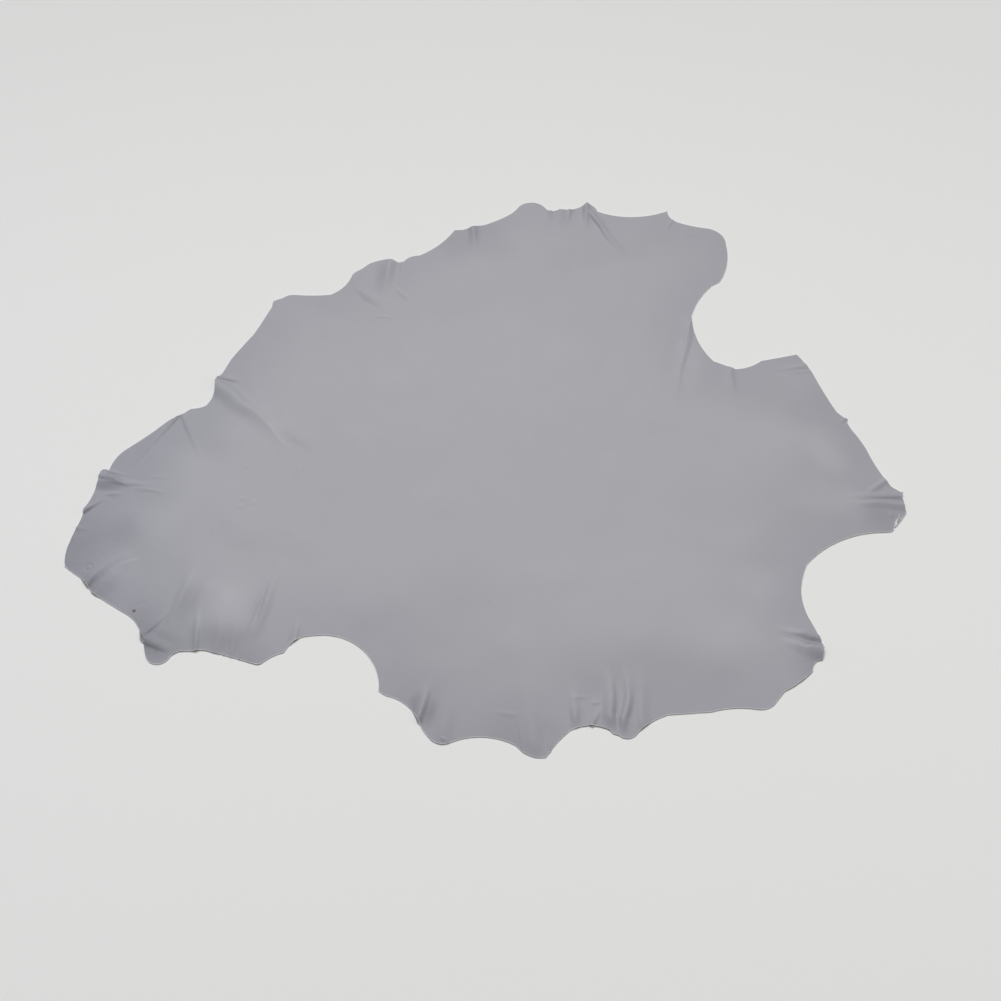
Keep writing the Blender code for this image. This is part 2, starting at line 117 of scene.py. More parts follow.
# The tables below give places in cm from a point near the hide's middle.
# The edge, clockwise from above. Each stretch runs from its own place to the
# next one as an arc, and bow is how far the arc's middle stands out of the
# hide, or into it where bow is negative.
# place, x cm, y cm, bow cm
OUTLINE = [
    ("neck end, lower corner", -57.2, -20.1, 0.25),
    ("neck end, upper corner", -57.1, -16.1, 0),
    ("neck edge, first nick", -56.65, -14.1, -0.15),
    ("neck edge, second nick", -56.05, -11, -0.2),
    ("neck flap, root", -54.85, -6.5, 0.05),
    ("neck flap, corner", -54.75, -4.9, 0.15),
    ("neck flap, top", -54.1, -4.4, 0),
    ("neck pleat", -53.6, -4.6, 0.3),
    ("throat, left", -51.9, -1.2, -0.1),
    ("throat, middle", -46.15, 3.95, -0.05),
    ("throat, step", -43.3, 6.2, -0.15),
    ("shoulder notch, low", -41.2, 6.75, -0.15),
    ("shoulder notch, high", -40.3, 9.3, -0.05),
    ("shoulder fold, tip", -40.45, 11.2, 0.05),
    ("shoulder fold, top", -40.15, 11.8, 0.05),
    ("shoulder fold, root", -39.85, 11.95, 0),
    ("upper shoulder, low", -38.5, 15.4, 0.05),
    ("upper shoulder, middle", -35.7, 20, -0.05),
    ("upper shoulder, high", -33.4, 25.5, 0),
    ("upper shank, outer corner", -33.3, 26.85, -0.15),
    ("upper shank, crown", -31.2, 27.8, 0.1),
    ("upper shank, inner end", -29.8, 27.95, -0.15),
    ("upper armpit, start", -24.6, 28, -0.65),
    ("upper armpit, corner", -21.45, 32.4, -0.15),
    ("belly lobe 1, rise", -19.2, 34.2, 0.35),
    ("belly lobe 1, end", -15.4, 35.2, -0.35),
    ("belly dip", -13.6, 34.75, 0.35),
    ("belly lobe 2, end", -11.2, 36.05, -0.55),
    ("belly corner", -5.85, 41.5, 0),
    ("belly step", -4.4, 41.6, 0.1),
    ("belly lobe 3, end", -1, 42.65, -0.15),
    ("belly dome, foot", 3.2, 45.1, 0),
    ("belly dome, start", 4, 46, 1.45),
    ("belly dome, end", 8.7, 46.25, -0.45),
    ("belly flat, start", 10.8, 45.85, -0.05),
    ("belly flat, end", 13, 46, -0.15),
    ("belly peak", 15.4, 47.4, 0.3),
    ("belly peak, foot", 17, 45.55, -1.3),
    ("flank hook", 28.2, 45.7, -0.45),
    ("flank bay", 29.6, 43.2, -0.15),
    ("flank, shoulder", 34, 41.9, 0.95),
    ("flank, widest", 36.95, 38.3, 0.65),
    ("flank, corner", 35.3, 30.7, 0),
    ("upper hind bay, start", 34, 29.9, -0.45),
    ("upper hind bay, pleat", 30.4, 23.7, -0.8),
    ("upper hind bay, floor", 33, 15, 0),
    ("upper hind bay, low corner", 36.2, 13.5, -0.35),
    ("upper hind shank, inner", 40.1, 15.05, 0),
    ("upper hind shank, corner", 45.5, 16.25, 0.15),
    ("upper hind shank, outer", 47.5, 12.5, -0.15),
    ("rump, first bay", 50, 5.6, -0.1),
    ("rump, torn tip", 51.45, 4.25, 0.05),
    ("rump, tear root", 51.2, 3.85, 0),
    ("rump, tear foot", 51.75, 2.4, 0.1),
    ("rump, crown", 53.4, -1, -0.25),
    ("tail, shoulder", 56, -7.35, 0),
    ("tail, notch", 57.15, -8.25, 0),
    ("tail, prong", 57.5, -8.05, 0),
    ("tail, prong root", 57.35, -8.7, 0),
    ("tail, nick", 57.15, -9.1, 0),
    ("tail, nick end", 57.35, -9.7, -0.1),
    ("tail, tip", 57.4, -11.6, 0.05),
    ("tail strip, outer lip", 55.5, -14, 0),
    ("tail strip, inner lip", 55.4, -13.9, 0),
    ("tail strip, middle", 55.95, -12.75, 0),
    ("tail slit, root", 56.45, -11.9, 0),
    ("tail slit, middle", 55.75, -12.65, 0),
    ("tail slit, inner lip", 55.3, -14.1, 0.1),
    ("tail, foot", 54.9, -14.65, 0),
    ("lower hind bay, start", 54.2, -14.75, -1.4),
    ("lower hind bay, bend", 42.7, -19.85, -0.15),
    ("lower hind bay, floor", 41.5, -23.6, -0.35),
    ("lower hind bay, end", 42.2, -28.6, 0.1),
    ("lower hind shank, tip", 43.4, -32.4, 0),
    ("lower hind shank, corner", 43, -34, -0.4),
    ("lower hind shank, notch", 41.55, -35.7, 0.2),
    ("lower flank, high", 37.6, -38.55, 0),
    ("lower flank, low", 36.25, -40.25, 0.3),
    ("lower flank, foot", 34, -41.05, -0.35),
    ("lower flank, middle", 28, -41.4, 0),
    ("lower flank, end", 22.5, -41.8, -0.1),
    ("lower belly tip, rise", 19.65, -43.25, -0.05),
    ("lower belly tip, right", 18.4, -44.5, 0.45),
    ("lower belly tip, left", 16.3, -44.6, 0),
    ("lower belly tip, corner", 15.5, -44.3, 0),
    ("lower belly bay, right", 15.1, -43.8, -0.6),
    ("lower belly bay, left", 10.2, -43.9, -0.2),
    ("lower belly point", 7.1, -47.5, 0.4),
    ("lower belly point, foot", 3.9, -46.5, 0),
    ("lower belly long bay, right", 3.2, -45.85, -0.95),
    ("lower belly long bay, left", -5, -45.6, 0.35),
    ("lower belly lobe, low", -7.3, -45.1, 0.15),
    ("lower belly pleat", -8.95, -42.55, -0.65),
    ("lower belly, end", -13.1, -39.15, 0.05),
    ("lower armpit, corner", -14.1, -38.45, -2.25),
    ("lower armpit, crown", -21.5, -30.5, -0.05),
    ("lower armpit, left", -24.25, -30.75, -0.2),
    ("lower armpit, end", -26.05, -32.15, 0),
    ("lower shank, inner", -26.65, -33.05, -0.2),
    ("lower shank, point", -29.5, -34.7, 0.05),
    ("lower shank, low", -30.25, -34.7, -0.05),
    ("lower shank, rise", -36.55, -32.8, -0.15),
    ("lower shank, crown", -38.25, -32.85, -0.05),
    ("ear lobe, neck", -40.25, -32.9, -0.15),
    ("ear lobe, right", -41.4, -33.9, 0.9),
    ("ear lobe, left", -44.35, -33.8, 0.1),
    ("ear fold, root", -44.95, -31.6, 0),
    ("cheek, corner", -45.4, -31, 0.05),
    ("cheek, low", -45.85, -29.6, -0.2),
    ("cheek, middle", -47.75, -27.45, 0.05),
    ("neck end, step", -52.9, -24.15, -0.05),
    ("neck end, foot", -54.75, -21.9, 0.05),
]

# Slow waves over the hide that make folds and calm parts uneven
# swing, turns per cm in x, turns per cm in y (radians), start (radians)
WANDER = [
    (0.24, 0.13, 0.31, 0.4),
    (0.12, 0.47, -0.36, 2.1),
    (0.07, -0.95, 0.83, 5.0),
]
UNEVEN = [
    (0.90, 0.21, 0.34, 0.3),
    (0.80, -0.30, 0.19, 1.9),
    (0.60, 0.52, -0.21, 4.1),
    (0.50, 0.12, 0.66, 2.6),
    (0.35, -0.71, -0.48, 0.8),
]

# The solid's folds. Each is a ridge over a spine that runs from a start to an
# end and bends by bow to the left on its way. width is the distance from the
# spine to the foot at the start and at the end, lean shifts width to the left
# side, and a fold that fades at its "end" is full where it starts.
# name, x0, y0, x1, y1, bow, width 0, width 1 (cm), lean, height mm, fades
FOLDS = [
    ("neck roll", -41.0, 11.0, -43.0, -30.0, 0.0, 15.0, 15.0, 0.12, 8.5, "both"),
    ("lower flank roll", -9.0, -31.0, 44.0, -29.0, 0.0, 14.0, 14.0, 0.12, 7.5, "both"),
    ("rump roll", 41.0, 15.0, 44.5, -19.0, 0.0, 14.0, 14.0, -0.08, 6.0, "both"),
    ("cheek roll", -44.0, -29.6, -26.0, -28.6, 0.0, 6.4, 6.4, 0.2, 5.0, "both"),
    ("belly roll", -24.0, 25.0, 18.0, 40.0, 0.0, 9.0, 11.0, 0.0, 3.0, "both"),
    ("shoulder fold", -41.3, 11.2, -27.2, -3.0, 0.8, 2.1, 1.6, -0.15, 5.0, "end"),
    ("shoulder fold, second", -31.6, 3.6, -24.2, -1.7, 0.5, 2.1, 2.1, 0.2, 0.9, "both"),
    ("shoulder fold, back", -40.9, 11.9, -36.2, 10.9, 0.1, 0.7, 0.7, 0.2, 2.6, "end"),
    ("throat margin", -44.5, 6.2, -53.1, -6.8, 0.3, 0.9, 0.8, -0.3, 2.0, "end"),
    ("neck pleat", -55.2, -5.3, -46.2, -8.0, -0.4, 0.8, 0.7, 0.1, 3.2, "end"),
    ("neck pleat, flap", -55.5, -6.2, -49.5, -7.8, 0.1, 1.2, 0.8, -0.5, 3.0, "end"),
    ("neck nick", -56.0, -11.2, -53.0, -8.5, 0.0, 0.7, 0.7, 0.3, 2.4, "end"),
    ("jaw side roll", -54.3, -22.6, -47.1, -17.6, 0.9, 1.5, 1.6, 0.0, 3.0, "end"),
    ("jaw fold", -53.2, -24.8, -45.3, -19.3, 1.3, 1.4, 1.5, -0.3, 2.2, "end"),
    ("ear fold", -46.2, -30.7, -40.2, -33.4, 0.0, 0.9, 0.8, 0.3, 3.6, "end"),
    ("cheek ridge", -43.2, -31.8, -38.4, -18.6, 0.2, 1.3, 1.5, -0.15, 2.7, "both"),
    ("cheek wrinkle 1", -38.2, -31.7, -38.5, -26.2, 0.1, 0.75, 0.8, 0.0, 1.9, "end"),
    ("cheek wrinkle 2", -35.7, -32.3, -35.1, -27.4, -0.1, 0.8, 0.9, 0.0, 1.2, "end"),
    ("cheek wrinkle 3", -33.6, -32.6, -32.9, -27.6, 0.2, 0.8, 0.9, 0.0, 1.0, "end"),
    ("shank ridge", -31.7, -33.2, -27.7, -17.3, -0.3, 0.9, 0.9, -0.2, 2.0, "both"),
    ("shank corner fold", -25.2, -30.8, -25.0, -27.7, 0.0, 0.75, 0.8, 0.0, 1.8, "end"),
    ("armpit fold 1", -15.6, 34.1, -16.6, 26.8, 0.3, 1.7, 1.1, -0.1, 2.9, "end"),
    ("armpit fold 2", -12.8, 34.6, -13.5, 27.6, 0.2, 1.2, 1.5, 0.2, 1.4, "end"),
    ("armpit crease", -22.3, 29.8, -15.3, 24.5, 0.5, 1.35, 1.35, 0.0, 1.4, "both"),
    ("belly fold", -3.1, 43.4, -2.6, 33.2, -0.1, 1.3, 1.6, 0.2, 2.4, "end"),
    ("belly wrinkle", 11.0, 46.3, 10.8, 41.4, 0.0, 1.7, 1.7, 0.0, 2.6, "end"),
    ("belly peak fold", 14.9, 46.5, 15.2, 40.5, 0.1, 0.9, 0.9, -0.2, 2.4, "end"),
    ("belly long crease", 15.8, 44.9, 22.1, 34.0, 0.0, 0.75, 0.95, 0.35, 2.2, "end"),
    ("upper hind bay, curl", 29.9, 22.1, 26.5, 5.7, 0.1, 1.1, 1.1, -0.4, 1.6, "end"),
    ("hind bay wrinkle", 35.6, 13.3, 35.7, 8.2, 0.0, 0.7, 0.8, 0.0, 1.3, "end"),
    ("upper hind shank crease", 47.0, 14.1, 40.5, 13.1, 0.2, 0.75, 0.75, 0.0, 1.1, "end"),
    ("tail fold, upper", 56.5, -9.1, 48.1, -9.0, 0.1, 0.8, 0.9, 0.0, 2.2, "end"),
    ("tail fold, side", 54.7, -6.7, 51.0, -9.5, 0.0, 0.75, 0.75, 0.0, 1.6, "end"),
    ("tail fold, lower", 56.6, -10.5, 48.5, -9.8, 0.2, 0.8, 0.8, 0.5, 3.0, "end"),
    ("lower hind tip, curl", 43.4, -33.0, 37.8, -31.0, 0.0, 1.3, 0.8, 0.7, 6.8, "end"),
    ("lower hind tip, upper", 43.6, -31.4, 36.7, -29.1, 0.2, 0.85, 0.85, 0.1, 3.2, "end"),
    ("lower pleat", -9.1, -42.3, -7.3, -36.2, 0.1, 1.15, 1.0, 0.1, 3.8, "end"),
    ("lower lobe fold", -5.9, -43.8, -4.7, -37.3, -0.1, 1.5, 1.7, 0.0, 1.8, "end"),
    ("lower point fold", 5.5, -45.9, 5.1, -38.8, -0.2, 1.7, 1.9, 0.0, 1.8, "end"),
    ("lower bay wrinkle", 11.0, -42.1, 11.0, -37.1, 0.0, 0.9, 1.0, 0.0, 2.3, "end"),
    ("lower tip fold 1", 15.4, -41.6, 14.1, -34.6, -0.7, 1.15, 1.2, 0.35, 4.2, "end"),
    ("lower tip fold 2", 17.0, -42.0, 16.5, -34.3, -0.8, 0.95, 1.0, -0.2, 3.8, "end"),
    ("lower tip fold 3", 19.6, -42.1, 18.9, -34.6, 0.2, 1.2, 1.3, -0.2, 2.3, "end"),
]

# Fine pleats and wrinkles on the folds, in the same columns
WRINKLES = [
    ("flap pleat, top", -54.2, -4.6, -50.0, -5.7, 0.0, 0.32, 0.35, 0.0, 1.1, "end"),
    ("flap pleat, low", -54.2, -5.1, -49.6, -7.8, -0.1, 0.32, 0.38, 0.0, 1.5, "end"),
    ("flap pleat, long", -51.2, -7.5, -43.6, -9.2, 0.2, 0.4, 0.4, 0.0, 0.8, "both"),
    ("flap pleat, faint", -48.2, -5.8, -44.2, -6.4, 0.0, 0.35, 0.4, 0.0, 0.4, "both"),
    ("flap foot", -54.4, -8.8, -50.4, -8.5, 0.1, 0.35, 0.35, 0.0, 1.1, "both"),
    ("neck nick, tip", -56.4, -11.8, -53.9, -9.5, 0.0, 0.35, 0.35, 0.2, 1.3, "end"),
    ("neck nick, fine", -56.8, -14.0, -54.6, -14.5, 0.0, 0.25, 0.3, 0.0, 1.0, "end"),
    ("neck nick, low", -57.4, -15.6, -55.6, -15.6, 0.0, 0.25, 0.3, 0.0, 0.8, "end"),
    ("throat margin, crest", -44.9, 4.9, -54.0, -8.5, 0.3, 0.32, 0.32, 0.0, 1.0, "end"),
    ("throat margin, faint", -46.7, -1.3, -48.5, -3.6, 0.0, 0.35, 0.35, 0.0, 0.5, "both"),
    ("throat fold", -44.0, 4.2, -40.3, -3.7, 0.0, 0.5, 0.55, -0.2, 1.3, "end"),
    ("jaw crest", -52.6, -22.7, -46.4, -18.9, 0.6, 0.5, 0.6, 0.0, 0.8, "both"),
    ("jaw root", -53.8, -23.8, -52.0, -20.4, 0.2, 0.5, 0.5, 0.2, 1.6, "end"),
    ("ear fold, crest", -45.9, -31.2, -40.8, -33.5, 0.0, 0.35, 0.35, 0.3, 1.3, "end"),
    ("cheek line", -46.2, -31.6, -40.6, -25.1, -0.1, 0.42, 0.42, 0.0, 2.5, "end"),
    ("cheek ridge, crest", -42.6, -30.1, -39.2, -19.7, 0.0, 0.4, 0.5, 0.0, 0.8, "both"),
    ("cheek wrinkle, crest", -38.0, -33.0, -38.4, -26.2, 0.0, 0.35, 0.4, 0.0, 0.9, "end"),
    ("shank line 1", -34.3, -33.5, -34.2, -29.2, 0.0, 0.3, 0.4, 0.0, 0.6, "end"),
    ("shank line 2", -32.2, -33.9, -32.2, -29.5, 0.0, 0.3, 0.4, 0.0, 0.6, "end"),
    ("shank ridge, crest", -28.7, -19.5, -32.3, -32.1, -0.2, 0.45, 0.5, 0.0, 1.0, "both"),
    ("shank corner, line", -25.8, -32.1, -25.8, -29.0, 0.0, 0.35, 0.35, 0.0, 1.2, "end"),
    ("loose grain 1", -35.6, -9.2, -33.1, -10.0, 0.1, 0.25, 0.25, 0.0, 0.45, "both"),
    ("loose grain 2", -33.4, -10.1, -31.7, -10.3, 0.1, 0.25, 0.25, 0.0, 0.4, "both"),
    ("loose grain 3", -35.5, -11.1, -33.4, -11.2, 0.1, 0.25, 0.25, 0.0, 0.4, "both"),
    ("loose grain 4", -33.4, -11.5, -31.6, -11.7, 0.1, 0.25, 0.25, 0.0, 0.35, "both"),
    ("loose grain 5", -35.1, -3.3, -33.2, -5.2, 0.0, 0.3, 0.3, 0.0, 0.4, "both"),
    ("loose line, cheek", -37.5, -12.9, -37.8, -16.4, 0.0, 0.3, 0.3, 0.0, 0.4, "both"),
    ("loose line, shoulder", -27.0, -2.8, -26.9, -6.6, 0.0, 0.35, 0.35, 0.0, 0.4, "both"),
    ("shoulder line, back", -40.1, 11.8, -36.4, 11.1, 0.0, 0.3, 0.32, 0.0, 1.0, "end"),
    ("shoulder crest, light", -36.0, 7.3, -28.6, -1.5, 0.4, 0.4, 0.5, 0.0, 0.4, "both"),
    ("armpit crest", -15.9, 34.1, -16.6, 28.1, 0.0, 0.4, 0.4, 0.0, 0.4, "end"),
    ("armpit line, right", -13.9, 34.7, -14.5, 28.1, 0.2, 0.45, 0.6, 0.2, 1.0, "end"),
    ("armpit line, soft", -15.6, 30.0, -11.4, 25.9, 0.0, 0.7, 0.8, 0.0, 0.7, "both"),
    ("armpit crease, line", -20.6, 27.9, -16.2, 24.9, 0.2, 0.45, 0.45, 0.0, 0.3, "both"),
    ("armpit fine 1", -18.6, 23.8, -14.2, 23.3, 0.0, 0.3, 0.3, 0.0, 0.6, "both"),
    ("armpit fine 2", -16.4, 26.7, -14.9, 26.3, 0.0, 0.3, 0.3, 0.0, 0.5, "both"),
    ("belly fold, crest", -2.9, 42.5, -2.2, 35.8, 0.0, 0.5, 0.6, -0.2, 0.7, "end"),
    ("belly nick 1", 9.5, 46.2, 9.3, 42.5, 0.0, 0.45, 0.45, 0.0, 2.0, "end"),
    ("belly nick 2", 12.6, 46.2, 12.1, 42.7, 0.0, 0.55, 0.5, 0.0, 1.8, "end"),
    ("belly peak crest", 15.3, 47.0, 14.7, 42.3, 0.0, 0.4, 0.45, -0.2, 1.0, "end"),
    ("belly long crest", 16.1, 45.0, 21.2, 36.1, -0.3, 0.4, 0.5, 0.3, 0.6, "end"),
    ("flank nick", 28.6, 43.1, 27.4, 41.3, 0.0, 0.3, 0.3, 0.0, 1.0, "end"),
    ("flank soft line", 29.8, 41.3, 32.6, 39.7, 0.0, 0.4, 0.5, 0.0, 0.4, "both"),
    ("bay curl, crest", 30.1, 22.2, 27.0, 6.9, -0.2, 0.35, 0.4, -0.3, 0.5, "end"),
    ("hind shank line, low", 47.6, 13.1, 42.2, 12.7, 0.0, 0.4, 0.4, 0.0, 0.6, "end"),
    ("rump nick", 51.6, 4.6, 49.6, 3.4, 0.0, 0.35, 0.4, 0.0, 1.2, "end"),
    ("tail line, upper", 56.6, -9.1, 50.8, -9.2, 0.0, 0.3, 0.35, 0.0, 0.7, "end"),
    ("tail line, middle", 56.4, -9.8, 50.8, -9.6, 0.0, 0.3, 0.35, 0.0, 0.7, "both"),
    ("tail line, low", 54.8, -11.2, 55.9, -13.2, 0.0, 0.45, 0.45, 0.0, 1.0, "both"),
    ("tip line", 43.7, -32.2, 38.0, -30.3, 0.2, 0.4, 0.4, 0.0, 2.0, "end"),
    ("tip line, upper", 43.0, -30.3, 38.8, -30.1, 0.1, 0.35, 0.35, 0.0, 0.9, "both"),
    ("lower pleat crest", -9.1, -43.3, -7.5, -37.9, 0.0, 0.32, 0.32, 0.0, 1.3, "end"),
    ("lower lobe nick", -6.4, -44.6, -4.8, -45.5, -0.1, 0.3, 0.3, 0.0, 1.0, "both"),
    ("long bay line", 4.1, -45.7, 3.0, -41.1, -0.3, 0.5, 0.5, 0.0, 0.9, "end"),
    ("long bay cross line", 0.0, -41.3, 4.9, -42.1, 0.0, 0.6, 0.6, 0.0, 0.4, "both"),
    ("long bay nick", 7.5, -46.1, 7.4, -43.3, 0.0, 0.35, 0.35, 0.0, 1.0, "end"),
    ("bay cross line", 9.2, -39.6, 13.6, -39.3, 0.0, 0.35, 0.35, 0.0, 0.4, "both"),
    ("bay line", 12.8, -43.4, 14.4, -40.3, 0.0, 0.4, 0.45, 0.0, 2.2, "end"),
    ("bay line, upper", 14.5, -40.0, 12.5, -40.4, 0.0, 0.3, 0.3, 0.0, 0.7, "both"),
    ("tip crest", 16.8, -43.1, 17.0, -35.4, -0.8, 0.4, 0.5, 0.0, 0.7, "end"),
]

# Healed scars and scratches that only dent the grain
# name, x0, y0, x1, y1, bow, half width cm, depth mm
DENTS = [
    ("scar 1", -4.5, -25.0, -3.8, -25.5, 0.05, 0.18, 0.3),
    ("scar 2", -0.5, -25.6, 0.1, -26.2, 0.05, 0.2, 0.35),
    ("scar 2, tail", -0.1, -25.2, -0.2, -25.9, 0.0, 0.15, 0.25),
    ("belly scratch", 6.8, 22.9, 9.7, 22.7, 0.1, 0.15, 0.15),
    ("back scratch 1", -14.2, 3.6, -8.0, 2.1, 0.3, 0.16, 0.12),
    ("back scratch 2", -13.0, 2.7, -9.2, 1.7, 0.2, 0.16, 0.1),
    ("hole crease", -46.8, -26.6, -44.6, -25.1, 0.1, 0.2, 0.25),
]

# Soft patches that darken (below 0) or lighten the grain: painted shade on fold flanks, painted
# highlights along crests and painted fall-off of the light over wide parts, with some of the
# skin's own uneven tone
# name, x, y, reach along, reach across (cm), turn (degrees), tone
PAINTED_LIGHT_AND_TONE_PATCHES = [
    ("neck end", -57.0, -17.0, 8.0, 10.5, 0.0, -0.185),
    ("neck end, low", -52.8, -24.3, 5.0, 3.5, 0.0, -0.2),
    ("neck flap", -53.4, -6.5, 3.4, 2.0, -10.0, -0.22),
    ("neck side", -49.5, -15.0, 4.5, 5.0, 0.0, -0.12),
    ("neck pleat, end", -45.5, -9.0, 4.0, 3.0, 0.0, -0.06),
    ("neck, middle", -44.5, -13.0, 8.0, 9.0, 0.0, 0.08),
    ("jaw, light", -38.5, -18.5, 6.5, 6.0, 0.0, 0.07),
    ("jaw root, light", -49.5, -22.5, 4.0, 4.0, 40.0, 0.06),
    ("jaw, middle", -44.5, -22.2, 4.0, 3.5, 0.0, 0.04),
    ("ear lobe", -46.0, -32.0, 9.0, 8.0, 0.0, -0.2),
    ("ear root", -42.8, -32.3, 4.0, 3.0, 0.0, -0.11),
    ("cheek ridge, right", -39.7, -26.4, 5.0, 1.7, 68.0, -0.11),
    ("cheek, shade", -38.2, -25.0, 4.0, 3.5, 0.0, -0.05),
    ("cheek, light", -34.8, -24.0, 5.5, 7.5, 0.0, 0.045),
    ("cheek, low", -35.0, -30.8, 5.5, 3.5, 0.0, -0.045),
    ("shank, dark", -30.5, -26.5, 3.0, 6.0, 0.0, -0.07),
    ("shank point", -31.0, -34.5, 5.0, 3.5, 0.0, -0.12),
    ("shoulder", -39.5, -0.5, 10.0, 5.5, -30.0, -0.075),
    ("shoulder crest", -30.6, 1.7, 3.6, 0.5, -52.0, 0.07),
    ("armpit, violet", -17.4, 31.5, 1.3, 4.0, 0.0, -0.08),
    ("upper belly", -3.8, 40.0, 9.0, 7.0, 20.0, -0.09),
    ("belly, shade", 1.5, 37.0, 4.0, 4.0, 0.0, -0.045),
    ("belly, light", 10.5, 39.5, 4.0, 4.0, 0.0, 0.03),
    ("upper flank", 17.5, 36.0, 18.0, 6.5, 0.0, -0.055),
    ("hind bay, light", 29.6, 15.5, 3.5, 7.0, 0.0, 0.07),
    ("upper hind shank", 41.5, 7.0, 9.5, 6.5, 0.0, -0.06),
    ("rump, light", 47.5, -1.5, 4.5, 6.5, 20.0, 0.11),
    ("tail root, light", 47.0, -10.0, 8.0, 3.5, 0.0, 0.07),
    ("tail", 54.5, -11.5, 5.0, 6.0, 0.0, -0.13),
    ("tail fold, light", 54.9, -10.8, 3.6, 0.9, -3.0, 0.08),
    ("tail pleat, light", 55.0, -9.35, 3.2, 0.6, 0.0, 0.06),
    ("hip, light", 36.5, -23.0, 5.5, 5.5, 0.0, 0.07),
    ("lower hind tip", 42.0, -34.5, 4.0, 5.0, 0.0, -0.15),
    ("lower hind tip, above", 42.0, -31.2, 2.2, 1.5, -20.0, -0.15),
    ("lower hind tip, curl", 41.3, -33.2, 3.2, 1.3, -8.0, 0.1),
    ("lower flank, light", 30.5, -30.5, 13.0, 6.5, 0.0, 0.06),
    ("lower middle", -5.5, -28.5, 19.0, 12.0, 0.0, -0.05),
    ("lower middle, dark", -0.5, -36.0, 7.0, 4.5, 0.0, -0.04),
    ("lower pleat, left", -9.6, -40.4, 2.6, 0.9, 70.0, -0.13),
    ("lower pleat, right", -7.3, -41.4, 2.8, 1.1, 75.0, -0.16),
    ("lower lobe", -9.0, -41.5, 12.0, 9.5, 0.0, -0.1),
    ("lower point", 2.5, -46.5, 8.5, 6.0, 0.0, -0.13),
    ("lower bay, left", 3.0, -41.3, 6.5, 5.0, 0.0, -0.065),
    ("lower point, right", 8.2, -44.2, 3.0, 3.0, 0.0, -0.06),
    ("lower edge", 18.5, -41.5, 20.0, 5.5, 0.0, -0.035),
    ("middle, light", 4.0, 11.5, 30.0, 18.0, 0.0, 0.02),
    ("lower right", 12.0, -24.0, 20.0, 8.0, 0.0, -0.03),
]

# A small ring left in the grain: x, y, radius, half width (cm), depth mm
RING_MARK = (-53.9, -20.3, 0.45, 0.2, 0.45)
# A small hole right through the skin: x, y, radius (cm)
HOLE = (-46.85, -27.0, 0.1)


class HideShape(bpy.types.PropertyGroup):
    """Sizes of the hide."""

    length: FloatProperty(
        name="Length", description="Neck end to tail, laid out", unit="LENGTH",
        default=CAD_BOX[1][0] - CAD_BOX[0][0])
    thickness: FloatProperty(
        name="Thickness", description="Thickness of the leather", unit="LENGTH", default=0.0012)
    fold_gain: FloatProperty(
        name="Folds", description="Height of the folds, as a share of the table's",
        subtype="FACTOR", default=1.0)
    wrinkle_gain: FloatProperty(
        name="Wrinkles", description="Height of the fine wrinkles, as a share of the table's",
        subtype="FACTOR", default=1.0)
    cell: FloatProperty(
        name="Cell", description="Widest cell of the mesh", unit="LENGTH", default=0.0068)
    fold_cell: FloatProperty(
        name="Fold cell", description="Cell of the mesh on the narrowest folds",
        unit="LENGTH", default=0.0017)
    halvings: IntProperty(
        name="Halvings", description="How often a cell may be halved where marks are fine",
        default=3, min=0, max=4)
    cells_per_flank: FloatProperty(
        name="Cells per flank", description="Cells from a fold's spine to its foot", default=2.7)
    arc_sag: FloatProperty(
        name="Arc sag", description="How far a straight step may cut off an arc",
        unit="LENGTH", default=0.00012)


class HideFinish(bpy.types.PropertyGroup):
    """Colours of the hide."""

    grain_colour: FloatVectorProperty(
        name="Grain", description="Colour of the grain side", subtype="COLOR", size=4,
        default=(0.353, 0.353, 0.382, 1.0))
    # The grain's cooler tint towards the neck, and also the blue of the painted shade in the
    # margin and in the darker patches
    cool_tint_and_shade_colour: FloatVectorProperty(
        name="Cool grain", description="Colour of the grain towards the neck and the tips",
        subtype="COLOR", size=4, default=(0.328, 0.325, 0.372, 1.0))
    flesh_colour: FloatVectorProperty(
        name="Flesh", description="Colour of the suede-like flesh side", subtype="COLOR",
        size=4, default=(0.41, 0.40, 0.41, 1.0))
    # The cut edge's pale colour, raised as a painted highlight because the edge faces away from
    # the key light; it also paints the lip
    edge_and_highlight_colour: FloatVectorProperty(
        name="Cut edge", description="Colour of the raw cut edge", subtype="COLOR", size=4,
        default=(0.80, 0.80, 0.82, 1.0))
    # The pale lip is a painted highlight where the edge of the grain catches the light
    lip: FloatProperty(
        name="Lip", description="Width of the pale lip along the cut", unit="LENGTH",
        default=0.0005)
    stain_colour: FloatVectorProperty(
        name="Stain", description="Colour of the stain around the hole", subtype="COLOR",
        size=4, default=(0.12, 0.09, 0.07, 1.0))
    roughness: FloatProperty(
        name="Roughness", description="Roughness of the grain side", subtype="FACTOR",
        default=0.56)
    pore: FloatProperty(
        name="Pore", description="Spacing of the pores", unit="LENGTH", default=0.0011)


